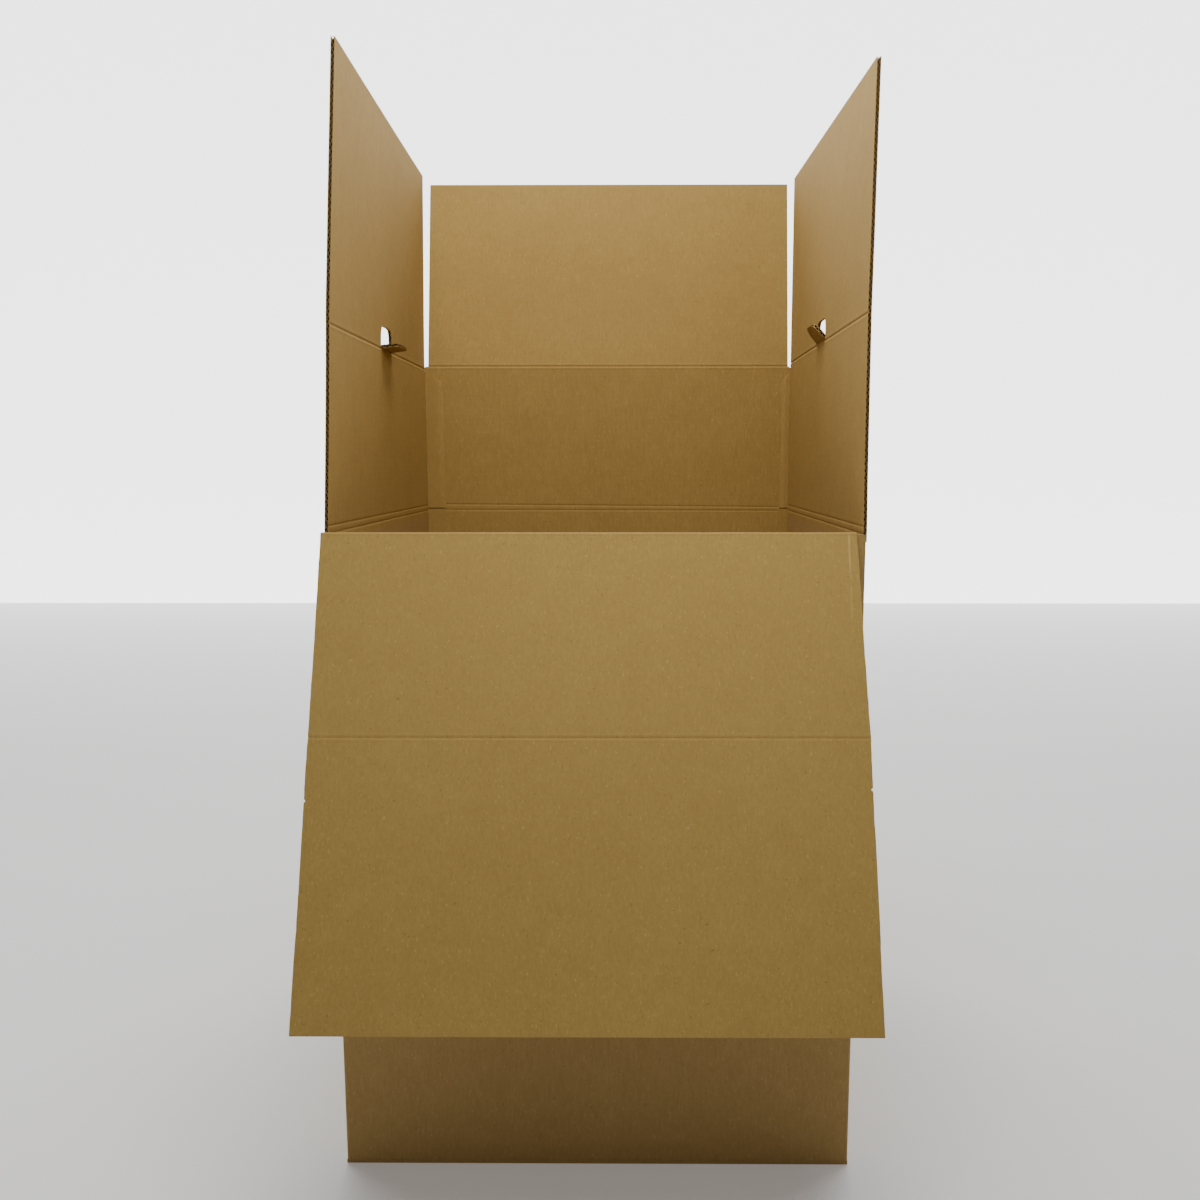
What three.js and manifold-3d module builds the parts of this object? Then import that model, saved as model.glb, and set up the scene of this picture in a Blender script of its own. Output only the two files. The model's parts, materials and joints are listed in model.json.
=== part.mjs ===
// A wardrobe moving box of single-wall corrugated board, standing open with its front dropped.
// Millimetres. +Z is up, the front faces -Y, and the origin is at the middle of the underside.

import * as THREE from 'three';
import { mergeVertices } from 'three/addons/utils/BufferGeometryUtils.js';
import Module from 'manifold-3d';

const wasm = await Module();
wasm.setup();

// Board and box
const BOARD = 4.5;
const INSIDE_WIDTH = 609.6;
const INSIDE_DEPTH = 609.6;
const CORNER_RADIUS = 4;
const LAYER_GAP = 0.3;
const JOIN_OVERLAP = 1;

// The double score round the box, at which the front folds down
const LOWER_SCORE_HEIGHT = 777;
const SCORE_SPACING = 8.5;
const SCORE_DEPTH = 1;
const SCORE_WIDTH = 3.2;

// Flap creases: the front and back ones are level, the left one is lower and the right one higher,
// so that the closed flaps lie on each other
const CREASE_HEIGHT = 1016;
const CREASE_STEP = 4.9;
const LINER_INSET = 1;
const CREASE_CLEARANCE = 0.3;
const FLAP_OUTWARD_LIMIT = 150;

// How far the front ends of the side creases lean in
const LEFT_LEAN = 11;
const RIGHT_LEAN = 2;

// Slots cut between the panels above the lower score
const LEFT_FRONT_SLOT = 10;
const RIGHT_FRONT_SLOT = 12.3;
const BACK_SLOT_LEFT = 12;
const BACK_SLOT_RIGHT = 10;

// Flap lengths from their creases
const FRONT_FLAP_LENGTH = 306.5;
const BACK_FLAP_LENGTH = 306.5;
const BACK_FLAP_LEFT_INSET = 1;
const BACK_FLAP_RIGHT_INSET = 3.8;
const BACK_FLAP_TIP_TAPER = 5.6;
const LEFT_FLAP_FRONT_LENGTH = 302;
const LEFT_FLAP_BACK_LENGTH = 308;
const RIGHT_FLAP_FRONT_LENGTH = 266;
const RIGHT_FLAP_BACK_LENGTH = 294;

// How the box stands in its rest pose, in degrees
const FRONT_FOLD_ANGLE = 80.1;
const BACK_FLAP_LEAN = 9.5;

// Hanger-bar slots in the side flaps, and the tongues cut from them
const BAR_SLOT_WIDTH = 69;
const BAR_SLOT_HEIGHT = 32;
const BAR_SLOT_RADIUS = 11;
const TONGUE_CLEARANCE = 1.5;
const LEFT_TONGUE_ANGLE = 72;
const RIGHT_TONGUE_ANGLE = 45;

// Glue tabs inside the back corners
const LEFT_TAB_WIDTH = 30;
const LEFT_TAB_LOWER_WIDTH = 38;
const RIGHT_TAB_WIDTH = 14;
const RIGHT_TAB_LOWER_WIDTH = 23;
const TAB_TOP_DROP = 12;
const TAB_SCORE_GAP = 5;
const TAB_BEVEL = 40;

// Tape over the seam of the bottom flaps
const TAPE_WIDTH = 48;
const TAPE_THICKNESS = 0.15;
const TAPE_TAIL = 60;
const TAPE_CLEARANCE = 0.2;
const SEAM_GAP = 1;

// Surfaces and fineness
const BOARD_ROUGHNESS = 0.9;
const TAPE_ROUGHNESS = 0.35;
const WELD_DISTANCE = 1e-4;
const CURVE_SEGMENTS = 6;

// Sizes that follow from the ones above
const HALF_WIDTH = INSIDE_WIDTH / 2 + BOARD;
const HALF_DEPTH = INSIDE_DEPTH / 2 + BOARD;
const INNER_X = INSIDE_WIDTH / 2;
const INNER_Y = INSIDE_DEPTH / 2;
const UPPER_SCORE_HEIGHT = LOWER_SCORE_HEIGHT + SCORE_SPACING;
const LEFT_CREASE = CREASE_HEIGHT - CREASE_STEP;
const RIGHT_CREASE = CREASE_HEIGHT + CREASE_STEP;
const SIDE_BACK_Y = INNER_Y - LAYER_GAP;
const TAB_INNER_Y = SIDE_BACK_Y - BOARD;
const INNER_FLAP_FLOOR = BOARD + LAYER_GAP;
const HALF_GAP = CREASE_CLEARANCE / 2;
const PANEL_LEFT_X = -HALF_WIDTH;
const PANEL_RIGHT_X = HALF_WIDTH - RIGHT_FRONT_SLOT;

const radians = THREE.MathUtils.degToRad;

// Board colours
function boardMaterial(color) {
  return new THREE.MeshStandardMaterial({ color, roughness: BOARD_ROUGHNESS, metalness: 0 });
}

// Solids, each in the frame of its own numbers
function solidFrom(geometry) {
  const bare = geometry.index ? geometry.clone() : geometry;
  bare.deleteAttribute('normal');
  bare.deleteAttribute('uv');
  const merged = mergeVertices(bare, WELD_DISTANCE);
  return new wasm.Manifold(new wasm.Mesh({
    numProp: 3,
    vertProperties: new Float32Array(merged.attributes.position.array),
    triVerts: new Uint32Array(merged.index.array),
  }));
}

function geometryFrom(solid) {
  const mesh = solid.getMesh();
  const positions = new Float32Array(mesh.vertProperties);
  const geometry = new THREE.BufferGeometry();
  geometry.setAttribute('position', new THREE.BufferAttribute(positions, 3));
  geometry.setIndex(new THREE.BufferAttribute(new Uint32Array(mesh.triVerts), 1));
  geometry.computeVertexNormals();
  return geometry;
}

function box(low, high) {
  const size = high.map((value, axis) => value - low[axis]);
  const middle = high.map((value, axis) => (value + low[axis]) / 2);
  const geometry = new THREE.BoxGeometry(...size);
  geometry.translate(...middle);
  return solidFrom(geometry);
}

// A board section runs from one end to the other. A section is a list of [across, up] corners, and
// place turns an end's corner into a point. Both ends have the same number of corners.
function loft(startSection, endSection, placeStart, placeEnd) {
  const count = startSection.length;
  const asCorner = ([across, up]) => new THREE.Vector2(across, up);
  const clockwise = THREE.ShapeUtils.isClockWise(startSection.map(asCorner));
  const start = clockwise ? [...startSection].reverse() : startSection;
  const end = clockwise ? [...endSection].reverse() : endSection;
  const points = [
    ...start.map(([across, up]) => placeStart(across, up)),
    ...end.map(([across, up]) => placeEnd(across, up)),
  ];
  const cap = THREE.ShapeUtils.triangulateShape(start.map(asCorner), []);
  const triangles = [];
  for (const [a, b, c] of cap) {
    triangles.push([a, b, c], [count + a, count + c, count + b]);
  }
  for (let i = 0; i < count; i += 1) {
    const next = (i + 1) % count;
    triangles.push([i, count + i, count + next], [i, count + next, next]);
  }
  const signed = triangles.reduce((sum, [a, b, c]) => {
    const cross = new THREE.Vector3().crossVectors(points[b], points[c]);
    return sum + points[a].dot(cross);
  }, 0);
  const facing = signed > 0 ? triangles : triangles.map(([a, b, c]) => [a, c, b]);
  const geometry = new THREE.BufferGeometry();
  const positions = points.flatMap((point) => [point.x, point.y, point.z]);
  geometry.setAttribute('position', new THREE.Float32BufferAttribute(positions, 3));
  geometry.setIndex(facing.flat());
  return solidFrom(geometry);
}

function prismAlongX(section, startX, endX) {
  const at = (x) => (across, up) => new THREE.Vector3(x, across, up);
  return loft(section, section, at(startX), at(endX));
}

function extruded(shape, depth) {
  const settings = { depth, bevelEnabled: false, curveSegments: CURVE_SEGMENTS };
  return solidFrom(new THREE.ExtrudeGeometry(shape, settings));
}

// Crease sections. In a panel's own frame X runs along the crease, Z is up from it, and Y goes from
// the outside of the box inwards, with the crease line at zero. A board folds about the liner on the
// outside of the bend, so the other side is cut back by half of the bend.
const OUTER_FACE = -LINER_INSET;
const INNER_FACE = BOARD - LINER_INSET;
const OUTER_CUT = LINER_INSET * Math.tan(radians(FLAP_OUTWARD_LIMIT / 2)) + HALF_GAP;
const INNER_CUT = INNER_FACE + CREASE_CLEARANCE;

function flapSection(length) {
  return [
    [OUTER_FACE, OUTER_CUT],
    [0, HALF_GAP],
    [INNER_FACE, INNER_CUT],
    [INNER_FACE, length],
    [OUTER_FACE, length],
  ];
}

function wallTopSection(depthBelow) {
  return [
    [OUTER_FACE, -OUTER_CUT],
    [0, -HALF_GAP],
    [INNER_FACE, -INNER_CUT],
    [INNER_FACE, -depthBelow],
    [OUTER_FACE, -depthBelow],
  ];
}

// The front folds the other way, about its inner liner
const DROP_AXIS_FROM_OUTER = BOARD - LINER_INSET;
const DROP_CUT = DROP_AXIS_FROM_OUTER + CREASE_CLEARANCE;
const DROP_AXIS_Y = -HALF_DEPTH + DROP_AXIS_FROM_OUTER;

// A flap panel in its crease frame, square or with ends of two lengths
function flapPanel(startX, endX, startLength, endLength) {
  const at = (x) => (across, up) => new THREE.Vector3(x, across, up);
  return loft(flapSection(startLength), flapSection(endLength), at(startX), at(endX));
}

// Outline of a bar slot or tongue in the crease frame: square at the crease, round at the far corners
function tongueOutline(width, height, radius, foot) {
  const half = width / 2;
  const shape = new THREE.Shape();
  shape.moveTo(-half, -foot);
  shape.lineTo(half, -foot);
  shape.lineTo(half, height - radius);
  shape.absarc(half - radius, height - radius, radius, 0, Math.PI / 2, false);
  shape.lineTo(-half + radius, height);
  shape.absarc(-half + radius, height - radius, radius, Math.PI / 2, Math.PI, false);
  return shape;
}

// A cutter through the board, with its outline standing on the crease line
function throughBoard(shape, centreX) {
  const solid = extruded(shape, 4 * BOARD);
  return solid.rotate([90, 0, 0]).translate([centreX, 2 * BOARD, 0]);
}

// How far a side crease leans in at a depth y
function leanAt(lean, y) {
  return (lean * (HALF_DEPTH - y)) / (2 * HALF_DEPTH);
}

// Upper part of a side wall, from the double score to its crease. side is -1 on the left and 1 on
// the right.
function upperSideWall(side, lean, crease, frontY) {
  const foot = LOWER_SCORE_HEIGHT - JOIN_OVERLAP;
  const height = crease - foot;
  const section = wallTopSection(height);
  const place = (y) => (across, up) => {
    const inwards = LINER_INSET + across + leanAt(lean, y) * (1 + up / height);
    return new THREE.Vector3(side * (HALF_WIDTH - inwards), y, crease + up);
  };
  return loft(section, section, place(frontY), place(SIDE_BACK_Y));
}

// Glue tab on the inside of the back wall: outline in X from the corner and Z, cut to a slant
function glueTab(side, outline) {
  const shape = new THREE.Shape();
  outline.forEach(([fromCorner, z], i) => {
    const x = side * (HALF_WIDTH - fromCorner);
    if (i === 0) {
      shape.moveTo(x, z);
    } else {
      shape.lineTo(x, z);
    }
  });
  return extruded(shape, BOARD).rotate([90, 0, 0]).translate([0, SIDE_BACK_Y, 0]);
}

function upperTab(side, width, crease) {
  const low = UPPER_SCORE_HEIGHT + TAB_SCORE_GAP;
  const high = Math.min(crease, CREASE_HEIGHT) - TAB_TOP_DROP;
  const reach = BOARD + width;
  return glueTab(side, [
    [0, low - TAB_SCORE_GAP / 2],
    [reach, low],
    [reach, high - width / 2],
    [BOARD, high],
    [0, high],
  ]);
}

function lowerTab(side, topWidth, width) {
  const high = LOWER_SCORE_HEIGHT - TAB_SCORE_GAP / 2;
  return glueTab(side, [
    [0, INNER_FLAP_FLOOR + 2 * BOARD],
    [BOARD + width, INNER_FLAP_FLOOR + 2 * BOARD + width],
    [BOARD + width, high - TAB_BEVEL],
    [BOARD + topWidth, high],
    [0, high],
  ]);
}

// Scored grooves in the inner faces, one line each side of the strip that turns over
function scoreGroovesAlongX(innerY, inwards) {
  return [LOWER_SCORE_HEIGHT, UPPER_SCORE_HEIGHT].map((z) => prismAlongX([
    [innerY + inwards, z - SCORE_WIDTH / 2],
    [innerY + inwards, z + SCORE_WIDTH / 2],
    [innerY, z + SCORE_WIDTH / 2],
    [innerY - inwards * SCORE_DEPTH, z],
    [innerY, z - SCORE_WIDTH / 2],
  ], -2 * HALF_WIDTH, 2 * HALF_WIDTH));
}

function scoreGroovesAlongY(side) {
  const grooves = scoreGroovesAlongX(-INNER_X, 1);
  return grooves.map((groove) => groove.rotate([0, 0, side > 0 ? 90 : -90]));
}

function cutAll(solid, cutters) {
  return cutters.reduce((left, cutter) => left.subtract(cutter), solid);
}

function joinAll(solids) {
  return solids.reduce((sum, solid) => sum.add(solid));
}

// Room for the tape, flush with the underside and the side walls
function tapePocket() {
  const half = TAPE_WIDTH / 2 + TAPE_CLEARANCE;
  const depth = TAPE_THICKNESS + TAPE_CLEARANCE;
  const outside = HALF_WIDTH + BOARD;
  const top = TAPE_TAIL + TAPE_CLEARANCE;
  const under = box([-outside, -half, -BOARD], [outside, half, depth]);
  const left = box([-outside, -half, -BOARD], [-HALF_WIDTH + depth, half, top]);
  const right = box([HALF_WIDTH - depth, -half, -BOARD], [outside, half, top]);
  return joinAll([under, left, right]);
}

// The lower walls in plan: left, front and right in one sheet, with rounded folds at the front
function wallsOutline() {
  const cornerX = HALF_WIDTH - CORNER_RADIUS;
  const cornerY = -HALF_DEPTH + CORNER_RADIUS;
  const shape = new THREE.Shape();
  shape.moveTo(-HALF_WIDTH, SIDE_BACK_Y);
  shape.lineTo(-HALF_WIDTH, cornerY);
  shape.absarc(-cornerX, cornerY, CORNER_RADIUS, Math.PI, 1.5 * Math.PI, false);
  shape.lineTo(cornerX, -HALF_DEPTH);
  shape.absarc(cornerX, cornerY, CORNER_RADIUS, 1.5 * Math.PI, 2 * Math.PI, false);
  shape.lineTo(HALF_WIDTH, SIDE_BACK_Y);
  shape.lineTo(INNER_X, SIDE_BACK_Y);
  shape.lineTo(INNER_X, -INNER_Y);
  shape.lineTo(-INNER_X, -INNER_Y);
  shape.lineTo(-INNER_X, SIDE_BACK_Y);
  return shape;
}

// Front and sides: one folded sheet, from its bottom flaps to the creases of its side flaps
function cartonBody() {
  const walls = extruded(wallsOutline(), LOWER_SCORE_HEIGHT - INNER_FLAP_FLOOR)
    .translate([0, 0, INNER_FLAP_FLOOR]);
  const frontTop = prismAlongX([
    [-HALF_DEPTH - BOARD, LOWER_SCORE_HEIGHT - DROP_CUT],
    [-HALF_DEPTH, LOWER_SCORE_HEIGHT - DROP_CUT],
    [DROP_AXIS_Y, LOWER_SCORE_HEIGHT - HALF_GAP],
    [-INNER_Y, LOWER_SCORE_HEIGHT - HALF_GAP],
    [-INNER_Y, UPPER_SCORE_HEIGHT],
    [-HALF_DEPTH - BOARD, UPPER_SCORE_HEIGHT],
  ], PANEL_LEFT_X - BOARD, PANEL_RIGHT_X + CREASE_CLEARANCE);
  const lowerWalls = walls.subtract(frontTop);
  const frontFoot = box(
    [-HALF_WIDTH + CORNER_RADIUS, -HALF_DEPTH, 0],
    [HALF_WIDTH - CORNER_RADIUS, -INNER_Y, INNER_FLAP_FLOOR + BOARD],
  );
  const frontBottomFlap = box([-HALF_WIDTH, -HALF_DEPTH, 0], [HALF_WIDTH, -SEAM_GAP / 2, BOARD]);
  const flapCorner = (side) => box(
    [side > 0 ? SEAM_GAP / 2 : -INNER_X - BOARD / 2, -INNER_Y + SEAM_GAP, INNER_FLAP_FLOOR],
    [side > 0 ? INNER_X + BOARD / 2 : -SEAM_GAP / 2, TAB_INNER_Y - SEAM_GAP, INNER_FLAP_FLOOR + BOARD],
  );
  const leftUpper = upperSideWall(-1, LEFT_LEAN, LEFT_CREASE, -HALF_DEPTH + LEFT_FRONT_SLOT);
  const rightUpper = upperSideWall(1, RIGHT_LEAN, RIGHT_CREASE, -HALF_DEPTH);
  const joined = joinAll([
    lowerWalls,
    frontFoot,
    frontBottomFlap,
    flapCorner(-1),
    flapCorner(1),
    leftUpper,
    rightUpper.subtract(box(
      [INNER_X - BOARD, -HALF_DEPTH - BOARD, 0],
      [HALF_WIDTH + BOARD, -INNER_Y, LOWER_SCORE_HEIGHT],
    )),
    upperTab(-1, LEFT_TAB_WIDTH, LEFT_CREASE),
    upperTab(1, RIGHT_TAB_WIDTH, RIGHT_CREASE),
    lowerTab(-1, LEFT_TAB_WIDTH, LEFT_TAB_LOWER_WIDTH),
    lowerTab(1, RIGHT_TAB_WIDTH, RIGHT_TAB_LOWER_WIDTH),
  ]);
  const grooved = box(
    [-2 * HALF_WIDTH, -INNER_Y, 0],
    [2 * HALF_WIDTH, TAB_INNER_Y, 2 * CREASE_HEIGHT],
  );
  const allGrooves = [...scoreGroovesAlongY(-1), ...scoreGroovesAlongY(1)];
  const sideGrooves = allGrooves.map((groove) => groove.intersect(grooved));
  return cutAll(joined, [...sideGrooves, tapePocket()]);
}

// Back wall with its bottom flap, glued outside the tabs
function backPanel() {
  const creaseY = HALF_DEPTH - LINER_INSET;
  const at = (x) => (across, up) => new THREE.Vector3(x, creaseY - across, CREASE_HEIGHT + up);
  const section = wallTopSection(CREASE_HEIGHT);
  const wall = loft(section, section, at(-HALF_WIDTH), at(HALF_WIDTH));
  const bottomFlap = box([-HALF_WIDTH, SEAM_GAP / 2, 0], [HALF_WIDTH, HALF_DEPTH, BOARD]);
  return cutAll(wall.add(bottomFlap), [...scoreGroovesAlongX(INNER_Y, -1), tapePocket()]);
}

// Packing tape along the bottom seam, with a tail up each side
function bottomTape() {
  const outer = HALF_WIDTH;
  const inner = HALF_WIDTH - TAPE_THICKNESS;
  const shape = new THREE.Shape();
  shape.moveTo(-outer, 0);
  shape.lineTo(outer, 0);
  shape.lineTo(outer, TAPE_TAIL);
  shape.lineTo(inner, TAPE_TAIL);
  shape.lineTo(inner, TAPE_THICKNESS);
  shape.lineTo(-inner, TAPE_THICKNESS);
  shape.lineTo(-inner, TAPE_TAIL);
  shape.lineTo(-outer, TAPE_TAIL);
  return extruded(shape, TAPE_WIDTH).rotate([90, 0, 0]).translate([0, TAPE_WIDTH / 2, 0]);
}

// Strip between the two scores, in a frame on the lower one and upright as in the closed box
function hingeStrip() {
  const outer = -DROP_AXIS_FROM_OUTER;
  return prismAlongX([
    [outer, DROP_CUT],
    [0, HALF_GAP],
    [LINER_INSET, HALF_GAP],
    [LINER_INSET, SCORE_SPACING - HALF_GAP],
    [0, SCORE_SPACING - HALF_GAP],
    [outer, SCORE_SPACING - DROP_CUT],
  ], PANEL_LEFT_X, PANEL_RIGHT_X);
}

// Front panel in a frame on the upper score, from there to the crease of its flap
const DROP_PANEL_LENGTH = CREASE_HEIGHT - UPPER_SCORE_HEIGHT;

function dropPanel() {
  const outer = -DROP_AXIS_FROM_OUTER;
  const creaseY = outer + LINER_INSET;
  return prismAlongX([
    [outer, DROP_CUT],
    [0, HALF_GAP],
    [LINER_INSET, HALF_GAP],
    [LINER_INSET, DROP_PANEL_LENGTH - INNER_CUT],
    [creaseY, DROP_PANEL_LENGTH - HALF_GAP],
    [outer, DROP_PANEL_LENGTH - OUTER_CUT],
  ], PANEL_LEFT_X, PANEL_RIGHT_X);
}

// Bar slots and tongues stand at the middle of the depth, given in each side crease's own frame
function sideFlap(startX, endX, startLength, endLength, slotX) {
  const outline = tongueOutline(BAR_SLOT_WIDTH, BAR_SLOT_HEIGHT, BAR_SLOT_RADIUS, BOARD);
  const slot = throughBoard(outline, slotX);
  return flapPanel(startX, endX, startLength, endLength).subtract(slot);
}

function tongue(slotX) {
  const width = BAR_SLOT_WIDTH - 2 * TONGUE_CLEARANCE;
  const length = BAR_SLOT_HEIGHT - TONGUE_CLEARANCE;
  const radius = BAR_SLOT_RADIUS - TONGUE_CLEARANCE;
  const plate = flapPanel(slotX - width / 2, slotX + width / 2, length, length);
  return plate.intersect(throughBoard(tongueOutline(width, length, radius, BOARD), slotX));
}

function part(name, solid, color) {
  const mesh = new THREE.Mesh(geometryFrom(solid), boardMaterial(color));
  mesh.name = name;
  return mesh;
}

const carton = new THREE.Group();

// Fixed pieces
carton.add(part('carton_body', cartonBody(), 0xa07c48));
carton.add(part('back_panel', backPanel(), 0x9c7845));
const tape = part('bottom_tape', bottomTape(), 0xb08d58);
tape.material.roughness = TAPE_ROUGHNESS;
carton.add(tape);

// Dropped front: strip, panel and flap, each in the frame of the one before
const stripHinge = new THREE.Group();
stripHinge.position.set(0, DROP_AXIS_Y, LOWER_SCORE_HEIGHT);
stripHinge.rotation.x = radians(FRONT_FOLD_ANGLE);
stripHinge.add(part('front_hinge_strip', hingeStrip(), 0xae8a55));
const panelHinge = new THREE.Group();
panelHinge.position.set(0, 0, SCORE_SPACING);
panelHinge.rotation.x = radians(FRONT_FOLD_ANGLE);
panelHinge.add(part('front_drop_panel', dropPanel(), 0xab8650));
const frontCrease = new THREE.Group();
frontCrease.position.set(0, -DROP_AXIS_FROM_OUTER + LINER_INSET, DROP_PANEL_LENGTH);
frontCrease.add(part(
  'front_top_flap',
  flapPanel(PANEL_LEFT_X, PANEL_RIGHT_X, FRONT_FLAP_LENGTH, FRONT_FLAP_LENGTH),
  0xa27d49,
));
panelHinge.add(frontCrease);
stripHinge.add(panelHinge);
carton.add(stripHinge);

// Back flap: its own X runs towards the left of the box. Its left edge tapers to its tip, so that it
// closes past the left flap, which leans in.
function backFlap(startX, endX) {
  const beyond = BACK_FLAP_LENGTH + BOARD;
  const trim = new THREE.Shape();
  trim.moveTo(endX, 0);
  trim.lineTo(endX + BOARD, 0);
  trim.lineTo(endX + BOARD, beyond);
  trim.lineTo(endX - (BACK_FLAP_TIP_TAPER * beyond) / BACK_FLAP_LENGTH, beyond);
  const panel = flapPanel(startX, endX, BACK_FLAP_LENGTH, BACK_FLAP_LENGTH);
  return panel.subtract(throughBoard(trim, 0));
}

const backFlapStart = -INNER_X + BACK_FLAP_RIGHT_INSET;
const backFlapEnd = INNER_X - BACK_FLAP_LEFT_INSET;
const backCrease = new THREE.Group();
backCrease.position.set(0, HALF_DEPTH - LINER_INSET, CREASE_HEIGHT);
backCrease.rotation.order = 'ZXY';
backCrease.rotation.z = Math.PI;
backCrease.rotation.x = radians(BACK_FLAP_LEAN);
backCrease.add(part(
  'back_top_flap',
  backFlap(backFlapStart, backFlapEnd),
  0x9f7b47,
));
carton.add(backCrease);

// Side flaps: the frame stands on the crease at the middle of the depth, turned with its lean
function sideCrease(side, lean, crease) {
  const frame = new THREE.Group();
  const middleX = HALF_WIDTH - LINER_INSET - leanAt(lean, 0);
  frame.position.set(side * middleX, 0, crease);
  frame.rotation.z = side * (Math.PI / 2 - Math.atan2(lean, 2 * HALF_DEPTH));
  return frame;
}

const leftCrease = sideCrease(-1, LEFT_LEAN, LEFT_CREASE);
const leftFrontEnd = HALF_DEPTH - LEFT_FRONT_SLOT;
const leftBackEnd = HALF_DEPTH - BACK_SLOT_LEFT;
leftCrease.add(part(
  'left_top_flap',
  sideFlap(-leftBackEnd, leftFrontEnd, LEFT_FLAP_BACK_LENGTH, LEFT_FLAP_FRONT_LENGTH, 0),
  0xa9844f,
));
const leftTongue = part('left_bar_tongue', tongue(0), 0x9a7643);
leftTongue.rotation.x = -radians(LEFT_TONGUE_ANGLE);
leftCrease.add(leftTongue);
carton.add(leftCrease);

const rightCrease = sideCrease(1, RIGHT_LEAN, RIGHT_CREASE);
const rightBackEnd = HALF_DEPTH - BACK_SLOT_RIGHT;
rightCrease.add(part(
  'right_top_flap',
  sideFlap(-HALF_DEPTH, rightBackEnd, RIGHT_FLAP_FRONT_LENGTH, RIGHT_FLAP_BACK_LENGTH, 0),
  0xa9844f,
));
const rightTongue = part('right_bar_tongue', tongue(0), 0x9a7643);
rightTongue.rotation.x = -radians(RIGHT_TONGUE_ANGLE);
rightCrease.add(rightTongue);
carton.add(rightCrease);

export default carton;
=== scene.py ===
# Looks of a wardrobe moving box of single-wall corrugated board, open with its front dropped.
# Shapes are worked out in millimetres in the part's frame and written in metres.

import json
import math
from types import SimpleNamespace

import bpy
import numpy as np
from mathutils import Matrix, Vector

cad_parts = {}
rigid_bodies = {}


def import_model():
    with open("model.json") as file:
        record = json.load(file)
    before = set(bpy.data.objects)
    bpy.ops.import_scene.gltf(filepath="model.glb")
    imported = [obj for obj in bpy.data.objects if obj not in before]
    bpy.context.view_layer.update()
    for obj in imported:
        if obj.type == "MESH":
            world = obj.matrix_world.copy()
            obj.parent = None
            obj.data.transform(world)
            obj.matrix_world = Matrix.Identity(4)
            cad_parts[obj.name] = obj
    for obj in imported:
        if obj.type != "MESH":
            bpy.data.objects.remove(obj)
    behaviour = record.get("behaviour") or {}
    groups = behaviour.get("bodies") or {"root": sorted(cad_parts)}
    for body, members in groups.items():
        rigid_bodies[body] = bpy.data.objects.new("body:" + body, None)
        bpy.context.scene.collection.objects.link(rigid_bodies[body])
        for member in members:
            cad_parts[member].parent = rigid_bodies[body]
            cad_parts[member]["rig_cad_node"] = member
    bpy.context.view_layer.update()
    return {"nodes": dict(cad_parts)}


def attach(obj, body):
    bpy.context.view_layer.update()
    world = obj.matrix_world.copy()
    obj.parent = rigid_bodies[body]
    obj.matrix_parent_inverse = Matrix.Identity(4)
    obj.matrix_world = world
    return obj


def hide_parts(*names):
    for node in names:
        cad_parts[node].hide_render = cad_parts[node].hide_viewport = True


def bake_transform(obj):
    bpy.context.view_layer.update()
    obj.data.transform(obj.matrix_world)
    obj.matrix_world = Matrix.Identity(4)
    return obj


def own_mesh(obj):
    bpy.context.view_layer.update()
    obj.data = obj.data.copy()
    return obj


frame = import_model()

MM = 0.001

# Board: thickness, liner, flutes, and how far below its outer face a crease turns
BOARD = 4.5
LINER = 0.45
FLUTE_PITCH = 7.8
MEDIUM_HALF = 0.36
MEDIUM_CLEARANCE = 0.34
MEDIUM_INSET = 0.35
MEDIUM_RAGGED = 0.3
EDGE_ROUGHNESS = 0.18
ROWS_PER_FLUTE = 10
MOST_FLUTE_COLUMNS = 16
AXIS_INSET = 1.0
LAYER_GAP = 0.3
WALL_SKIN = 0.18

# Box: half its outside width, its inside face, the inside of the back wall and the corner bend
HALF = 309.3
INNER = HALF - BOARD
BACK_Y = INNER - LAYER_GAP
CORNER = 4.9
WALL_FOOT = 4.7

# Heights of the double score and of the top creases
LOWER_TOP = 768.0
LOWER_SCORE = 777.0
SCORE_SPACING = 8.5
UPPER_SCORE = LOWER_SCORE + SCORE_SPACING
CREASE = 1016.0
CREASE_STEP = 4.9

# Scores and creases pressed into the inside
SCORE_WIDTH = 1.2
GROOVE_SHARPNESS = 1.6
CREASE_HALF = 7.0
CREASE_TURN = 5.0
CREASE_DEPTH = 0.75
CREASE_WIDTH = 1.15
RIDGE_HEIGHT = 0.15
RIDGE_AT = 3.2
RIDGE_WIDTH = 1.3

# Dropped front: its ends, its fold angle and the thin skin round each sharp fold
PANEL_LEFT = -HALF
PANEL_RIGHT = 297.0
PANEL_LENGTH = CREASE - UPPER_SCORE
FRONT_LENGTH = 306.5
FOLD_ANGLE = math.radians(80.1)
FOLD_AXIS = 3.5
FOLD_HALF = 3.0
FOLD_LAP = 0.4
FOLD_CUT_SLOPE = 1.04

# Back flap
BACK_LEAN = math.radians(9.5)
BACK_LENGTH = 306.5

# Hanger-bar slots and the tongues cut from them
SLOT_HALF = 34.5
SLOT_HEIGHT = 32.0
SLOT_RADIUS = 15.0
TONGUE_HALF = 33.0
TONGUE_LENGTH = 30.5
TONGUE_BEND = 6.0
TONGUE_ARC_STEPS = 12

# Material numbers on a piece
OUTER_FACE = 0
INNER_FACE = 1
FLUTES = 2
UNDERSIDE = 3


# The same value all along a line or all over a sheet
def constant(value):
    return lambda *at: 0 * at[0] + value


# Smooth repeatable variation along a line, from -1 to 1
def wander(values, spacing, seed):
    size = 4096
    start = 1000.0
    table = np.random.RandomState(seed).uniform(-1, 1, size)
    place = np.asarray(values, float) / spacing + start
    cell = np.floor(place).astype(int)
    share = place - cell
    share = share * share * (3 - 2 * share)
    return table[cell % size] * (1 - share) + table[(cell + 1) % size] * share


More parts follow.
